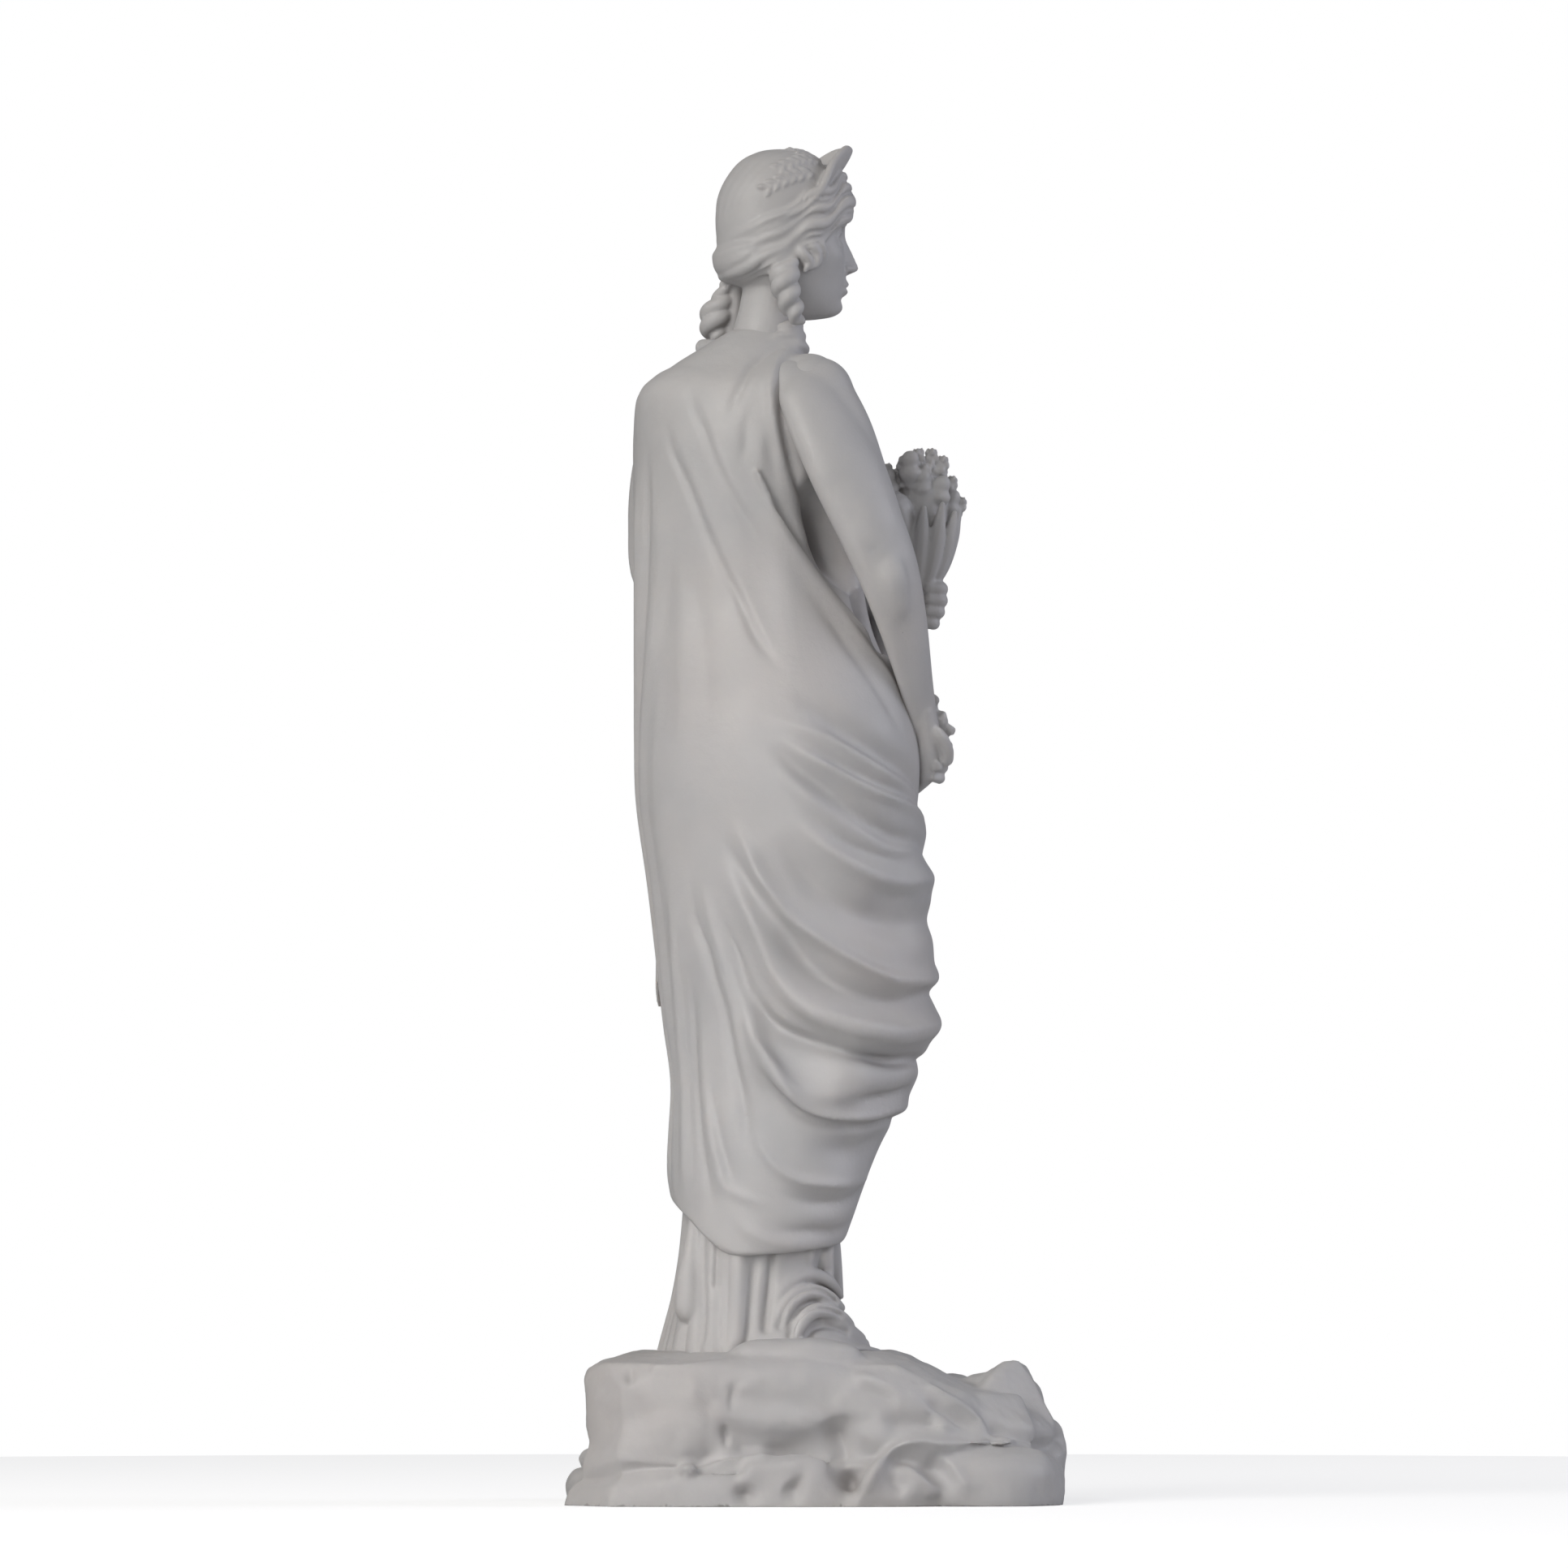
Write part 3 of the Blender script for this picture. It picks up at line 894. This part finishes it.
def nape():
    """Hair gathered low on the neck."""
    return [head_egg(11.0, 0, 15.6, (6.0, 2.6, 2.6)), head_egg(-9.4, 0, -6.6, (11.6, 8.6, 6.6)),
            head_egg(-7.4, 0, -9.6, (9.4, 7.8, 4.2)),
            head_egg(-4.0, 8.4, -7.4, (5.0, 6.4, 4.6)), head_egg(-4.0, -8.4, -7.4, (5.0, 6.4, 4.6))]


# One row of places for the lowest lock and one for the highest: parting, temple, ear, behind the ear, nape
LOCK_LOW = [(16.6, 0.2, 8.4), (15.0, 4.2, 6.6), (12.6, 8.6, 3.6), (7.8, 12.0, -0.2), (2.6, 13.2, -3.6),
            (-3.2, 13.2, -8.0), (-9.0, 9.6, -11.8), (-12.0, 4.0, -13.2), (-12.6, -1.0, -13.4)]
LOCK_HIGH = [(14.6, 0.2, 15.0), (13.4, 4.4, 14.4), (10.6, 8.2, 12.4), (6.0, 11.4, 9.4), (0.6, 13.4, 6.4),
             (-6.2, 13.4, 2.6), (-12.6, 10.0, -0.4), (-16.6, 5.0, -2.0), (-17.8, -1.0, -2.6)]
LOCK_LIFT = (1.6, 1.5, 1.1, 0.8, 0.5, 0.1, -0.3, -0.55, -0.65)
LOCK_RADII = (1.3, 1.8, 1.9, 1.8, 1.7, 1.6, 1.5, 1.4, 1.2)
# each lock's thickness, lowest first
LOCK_SIZE = (0.85, 0.95, 1.25, 0.8, 1.05, 0.85, 1.0)


def locks(under):
    """Waved locks from the parting over the temples to the nape, lying on the head."""
    tree = BVHTree.FromObject(under, bpy.context.evaluated_depsgraph_get())
    parts = []
    low, high = np.array(LOCK_LOW), np.array(LOCK_HIGH)
    for s in (1, -1):
        for k, size in enumerate(LOCK_SIZE):
            share = k / (len(LOCK_SIZE) - 1)
            rows = np.column_stack([low + (high - low) * share, LOCK_LIFT, LOCK_RADII])
            path = smooth_path(rows, 4)
            step = np.arange(len(path))
            wave = np.clip((26 - step) / 10, 0, 1)
            path[:, 2] += 0.7 * wave * np.sin(step * 0.8 + 0.5 * k)
            path[:, 3] += 0.35 * wave * np.sin(step * 0.8 + 0.5 * k + 1.2)
            path[:, 1] *= s
            places = []
            for (f, side, u, lift, _), at_place in zip(path, heads(path[:, :3])):
                hit, n, _, _ = tree.find_nearest(Vector(at_place))
                places.append(np.array(hit) + np.array(n) * (lift - 0.45))
            parts.append(tube(np.array(places), path[:, 4] * size, 14, per_span=2))
    return parts


def diadem():
    """Crescent plate standing on the hair over the brow, highest in front and running out behind the ears."""
    foot = smooth_path([(-12.0, 10.2, -1.4), (-8.0, 12.2, 0.2), (-3.6, 12.8, 2.6), (1.8, 12.4, 5.6),
                        (5.6, 11.0, 9.0),
                        (9.0, 8.4, 13.0), (12.4, 4.6, 16.0), (14.2, 0.0, 16.8)], 8)
    lean = smooth_path([(-0.2, 0.9, 0.3), (-0.1, 1.0, 0.15), (-0.05, 1.0, 0.12), (0.0, 1.0, 0.16),
                        (0.08, 0.8, 0.5),
                        (0.24, 0.35, 1.0), (0.42, 0.08, 1.0), (0.66, 0.0, 1.0)], 8)
    rise = smooth_path([(0.2,), (1.0,), (1.9,), (2.6,), (4.2,), (6.2,), (7.2,), (7.4,)], 8)[:, 0]
    rings = []
    spots = list(range(len(foot))) + list(range(len(foot) - 2, -1, -1))
    for k, i in enumerate(spots):
        s = 1.0 if k < len(foot) else -1.0
        base, out = foot[i] * (1, s, 1), lean[i] * (1, s, 1)
        out = out / np.linalg.norm(out)
        ahead = foot[min(i + 1, len(foot) - 1)] - foot[max(i - 1, 0)]
        along = ahead * (1, s, 1) * s
        if i == len(foot) - 1:
            along = np.array([0, -1.0, 0])
        along = along / np.linalg.norm(along)
        thick = np.cross(along, out)
        thick /= np.linalg.norm(thick)
        ring = []
        for j in range(16):
            w = FULL * j / 16
            reach = -2.5 + (rise[i] + 2.5) * (0.5 - 0.5 * math.cos(w))
            half = 1.3 * math.copysign(abs(math.sin(w)) ** 0.6, math.sin(w))
            ring.append(head_at(*(base + out * reach + thick * half)))
        rings.append(np.array(ring))
    return [rings_to_mesh(rings)]


RINGLETS = [
    # across, near, height, radius
    [(4.0, 11.0, 310.0, 2.2), (2.2, 12.2, 306.0, 3.9), (3.0, 12.6, 302.0, 3.4), (4.2, 12.4, 298.4, 3.0),
     (5.6, 11.6, 295.2, 2.0)],
    [(-12.2, -6.6, 306.6, 2.0), (-12.9, -7.8, 303.6, 2.8), (-14.6, -9.0, 299.4, 4.3),
     (-15.2, -9.4, 296.0, 3.9),
     (-14.6, -9.4, 292.4, 2.2)],
]


def ringlet(rows, pitch=4.3, start=0.6):
    """A corkscrew lock: two strands wound round each other."""
    path = smooth_path(rows, 10)
    centre, radius = path[:, :3], path[:, 3]
    step = np.linalg.norm(np.diff(centre, axis=0), axis=1)
    run = np.concatenate([[0], np.cumsum(step)])
    parts = [tube(ats(centre[::4]), np.maximum(radius[::4] * 0.6, 0.4), 12, per_span=2)]
    for strand in (0.0, 0.5):
        turn = FULL * (run / (2 * pitch) + strand) + start
        offset = np.column_stack([np.cos(turn), np.sin(turn), np.zeros(len(turn))]) * (radius * 0.52)[:,
                None]
        parts.append(tube(ats(centre + offset), np.maximum(radius * 0.56, 0.35), 12, per_span=2))
    return parts


def neck():
    return [tube(ats([(-4.4, 0, 278), (-3.4, 0, 289), (-1.6, -0.6, 298), (0.4, -1.2, 307)]),
                 (10.5, 8.5, 7.7, 8.2), 32)]


# ---------------------------------------------------------------- arms and what they hold
def finger(points, r):
    """One finger: joints a little thicker than what lies between them."""
    return tube(points, (r, r * 1.08, r * 0.98, r * 1.04, r * 0.8)[:len(points)], 12)


def right_arm():
    arm = [(6.2, 15.0, 279.0), (9.0, 17.0, 275.5), (12.9, 20.2, 267), (17.9, 22.7, 256), (23.5, 23.2, 243),
           (28.2, 21.2, 231.5),
           (31.6, 17.0, 220), (34.2, 12.0, 209), (36.2, 7.0, 200), (37.2, 3.5, 194.5)]
    parts = [tube(ats(arm), (8.0, 10.6, 11.6, 11.4, 10.2, 9.2, 7.7, 6.1, 4.8, 4.3), 32,
                  flat=0.58, up=(-1.0, -0.05, -0.25)),
             ellipsoid(at(10.6, 11.8, 277.0), (9.2, 9.2, 9.2)),
             tube(ats([(10.0, 11.6, 277.4), (15.6, 13.6, 267), (20.2, 15.4, 256), (24.6, 15.6, 245),
                       (28.2, 15.0, 235)]),
                  (9.0, 8.8, 7.9, 7.2, 6.2), 28)]
    # point of the elbow
    parts += [tube(ats([(25.6, 24.0, 236), (28.0, 24.2, 230), (30.0, 21.6, 223)]), (4.0, 5.0, 4.0), 20)]
    return parts


def right_hand():
    """The hand, half closed on the stems, its back outwards."""
    parts = [tube(ats([(36.6, 5.0, 198), (37.4, 2.4, 193.4), (37.9, -0.4, 187.4), (37.6, -1.6, 182.8)]),
                  (4.1, 4.7, 4.8, 3.4), 20, flat=0.8,
                  up=(-1, -1, 0)),
             finger(ats([(38.0, 4.8, 193.6), (41.0, 4.4, 191.6), (43.0, 2.2, 188.4), (43.0, 0.4, 186.0)]),
                    1.75)]
    for k in range(4):
        z, out, r = 191.4 - 2.75 * k, 0.25 * k + 0.15 * (k - 1) ** 2, 1.75 - 0.1 * k
        parts.append(finger(ats([(37.0, -2.6, z + 0.6), (38.8 - out, -5.0, z - 0.3),
                                 (41.6 - out, -4.6, z - 1.2),
                                 (42.6 - out, -1.6, z - 1.8), (41.0 - out, 0.8, z - 1.8)]), r))
    return parts


def posy():
    """Blossoms round a short stem in her lowered hand."""
    parts = [tube(ats([(41.0, -1.2, 194), (41.0, -1.2, 187), (38.4, -1.6, 182), (35.6, -2.0, 178.0)]),
                  (1.6, 2.3, 1.9, 0.8), 12)]
    for u, w, z, r in ((39.9, 1.6, 201.0, 1.7), (43.6, -0.6, 193.4, 1.9), (40.4, -3.6, 197.0, 2.2),
                       (42.4, -3.0, 190.0, 2.4),
                       (41.8, 0.8, 196.2, 2.0), (42.6, 0.6, 187.6, 2.1), (40.8, -3.4, 185.4, 2.2),
                       (40.4, 1.6, 184.4, 1.9),
                       (38.2, -1.2, 182.0, 1.9), (36.4, -2.2, 179.6, 1.5)):
        parts.append(ellipsoid(at(u, w, z), (r, r, r), sides=14))
        parts.append(tube([at(u, w, z), at(41.4, -1.2, 186.0)], (1.2, 1.4), 8))
    return parts


SHEAF_FOOT = at(38.2, -28.0, 226)
# across, near, height of each ear's tip and its thickness
EARS = [
    (31.0, -23.5, 264.5, 1.7), (34.8, -25.0, 266.5, 1.8), (38.4, -27.5, 266.8, 1.8),
    (41.6, -28.5, 265.0, 1.7),
    (44.6, -30.5, 260.0, 1.6), (47.6, -31.0, 254.5, 1.7), (46.0, -28.0, 248.5, 1.5),
    (36.6, -31.0, 265.0, 1.7),
    (40.6, -33.5, 262.0, 1.7), (35.0, -35.0, 259.5, 1.7), (30.0, -30.0, 262.0, 1.7),
    (43.6, -34.0, 256.0, 1.6),
    (27.0, -25.0, 262.5, 1.7), (23.5, -22.5, 260.5, 1.7), (25.5, -29.0, 259.0, 1.6),
    (20.0, -23.5, 257.5, 1.6),
    (38.0, -37.0, 255.0, 1.6), (31.5, -35.5, 256.5, 1.6), (42.0, -25.0, 259.5, 1.6),
    (37.4, -22.8, 262.5, 1.6),
]


def sheaf():
    """Ears and leaves held upright before the breast, fanning out above the fist."""
    foot = SHEAF_FOOT
    parts = [tube([foot - (0, 0, 12), foot, foot + (0, 0, 9), foot + (0.5, 0.5, 19), foot + (1, 1, 28)],
                  (3.0, 3.2, 4.6, 6.4, 6.6), 20)]
    for u, w, z, r in EARS:
        tip = at(u, w, z)
        lean = tip - foot
        parts.append(tube([foot + lean * 0.12 + (0, 0, 3), foot + lean * 0.5 + (0, 0, 3),
                           foot + lean * 0.75 + (0, 0, 1.5), tip],
                          (1.0, 1.2, r * 1.15, r * 0.6), 10))
    for k in range(11):
        a = FULL * k / 11
        out = np.array([math.cos(a), math.sin(a), 0.0])
        parts.append(tube([foot + (0, 0, 2), foot + out * 4.8 + (0, 0, 9.5), foot + out * 7.0 + (0, 0, 18),
                           foot + out * 8.4 + (0, 0, 24 + k % 3)], (1.2, 2.1, 2.2, 0.8), 10))
    # the leaning stalks between the fan and the breast
    for u, w, z, r in ((29.5, -22.0, 250.0, 5.6), (24.0, -20.5, 249.0, 5.8), (33.0, -25.0, 248.0, 5.0),
                       (19.0, -21.0, 247.0, 4.6)):
        goal = at(u, w, z)
        parts.append(tube([foot + (0, 0, 3), (foot + goal) / 2 + (0, 0, 2), goal], (3.0, r * 0.8, r), 14))
    return [(points + at(1, 0, 0) * (points[:, 2:] - 250) * 0.09, faces) for points, faces in parts]


def left_hand():
    """Forearm from under the cloth and a fist closed round the stalks."""
    parts = [tube(xyz([(16, -26, 228), (8, -34, 228.5), (2.5, -39.5, 228.6)]), (6.4, 5.2, 4.4), 20,
                  flat=0.9),
             tube(xyz([(4.0, -38.0, 228.6), (0.5, -42.0, 228.4), (-2.2, -46.6, 227.8)]), (4.4, 5.6, 4.6),
                  20, flat=1.15)]
    parts.append(finger(xyz([(0.0, -40.0, 232.0), (-4.0, -41.0, 234.6), (-8.4, -43.6, 234.4),
                             (-11.0, -46.6, 232.6)]), 2.05))
    for k in range(4):
        z, out, r = 231.8 - 2.9 * k, 0.2 * k + 0.25 * (k - 1) ** 2, 2.0 - 0.12 * k
        parts.append(finger(xyz([(0.6, -45.4 + out, z + 0.6), (-2.6 - out, -50.2 + out, z),
                                 (-8.0, -52.6 + out, z - 0.5),
                                 (-12.4 + out, -49.8 + out, z - 0.8), (-12.0 + out, -46.0, z - 0.6)]), r))
    return parts


# ---------------------------------------------------------------- building
HEIGHT = 340.0
MELT = 1.1
TRIANGLES = 9600
NODE = "goddess_statue"
FADE = (14, 12)


def everything():
    figure = Figure(GOWN)
    parts = [figure.solid(low=84), mantle(figure), mantle_roll(figure),
             ellipsoid(at(8.5, 11.5, 277.5), (9.0, 9.0, 9.6))]
    parts += sleeve() + limbs_under_cloth() + forearm_swag()
    parts += skirt() + skirt_right() + right_foot() + left_foot() + rock_piece()
    parts += right_arm() + right_hand() + posy() + sheaf() + left_hand()
    under = to_object("under", [skull()] + nape())
    parts += [skull()] + face() + nape() + locks(under) + diadem() + neck()
    bpy.data.objects.remove(under)
    for rows in RINGLETS:
        parts += ringlet(rows)
    return parts


def chisel(obj):
    relax(obj, 2)
    clay = Clay(obj)
    for side, depth, width, line, *more in FOLDS:
        clay.draw(side, line, depth, width, *more, fade=FADE)
    for side, depth, width, line in ROCK_CUTS:
        clay.draw(side, line, 0.8 * depth, width, fade=(5, 5))
    clay.commit()
    relax(obj, 1)


def alabaster():
    material = bpy.data.materials.new("cast_alabaster")
    material.use_nodes = True
    shader = material.node_tree.nodes["Principled BSDF"]
    shader.inputs["Base Color"].default_value = (0.74, 0.71, 0.68, 1)
    shader.inputs["Roughness"].default_value = 0.5
    return material


def stand(obj):
    """The outline centred over the origin, the stated height, in metres."""
    co = points_of(obj.data)
    co[:, 2] -= co[:, 2].min()
    middle = (co.min(0) + co.max(0)) / 2
    co[:, :2] -= middle[:2]
    co *= HEIGHT / co[:, 2].max()
    set_points(obj.data, co * 0.001)


def main():
    for old in list(bpy.data.objects):
        bpy.data.objects.remove(old)
    statue = to_object(NODE, everything())
    remesh(statue, MELT)
    chisel(statue)
    saw_flat(statue)
    decimate(statue, TRIANGLES)
    stand(statue)
    statue.data.materials.append(alabaster())
    for face in statue.data.polygons:
        face.use_smooth = True
    print("size in mm:", (np.array(statue.dimensions) * 1000).round(1))


main()
